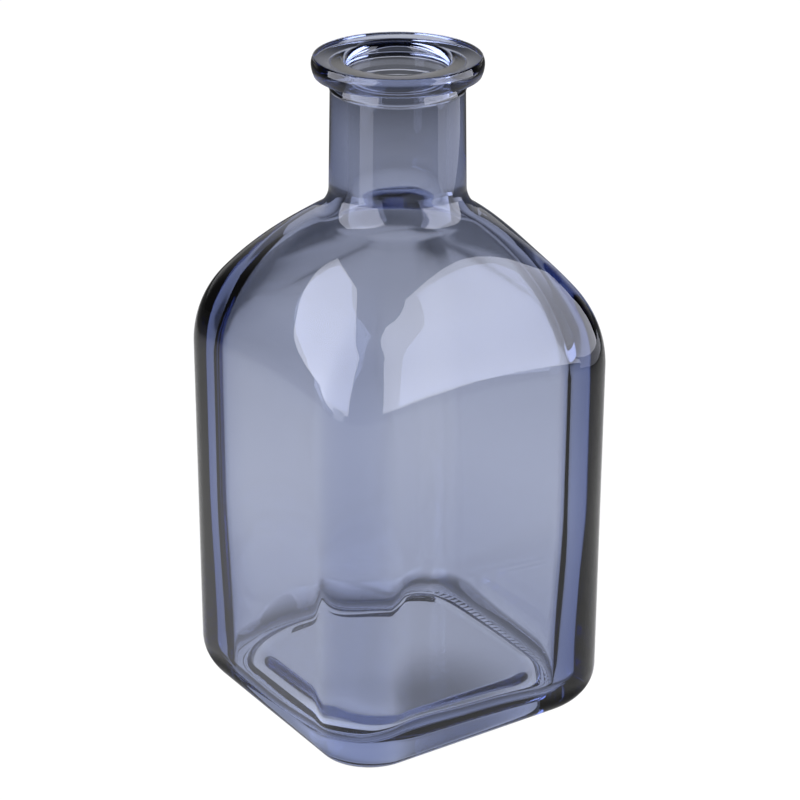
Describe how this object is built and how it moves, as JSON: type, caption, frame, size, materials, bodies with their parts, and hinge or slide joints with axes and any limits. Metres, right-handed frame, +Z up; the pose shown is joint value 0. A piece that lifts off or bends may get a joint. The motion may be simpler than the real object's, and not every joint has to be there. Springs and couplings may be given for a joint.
{
  "type": "bottle vase",
  "caption": "Square bottle vase of smoke-tinted glass with rounded hips on the shoulder, a round neck, a flanged lip and an open mouth for stems or a cork.",
  "frame": {"origin": "centre of the bearing ring under the base, on the surface that the bottle stands on", "axes": "+Z up along the bottle's axis and out of its mouth; X and Y square to the flat faces of the body"},
  "size_m": [0.06, 0.06, 0.1253],
  "materials": {
    "smoke_glass": "clear tinted blown glass, glossy"
  },
  "bodies": {
    "root": {"glass_bottle": "smoke_glass"}
  },
  "joints": []
}
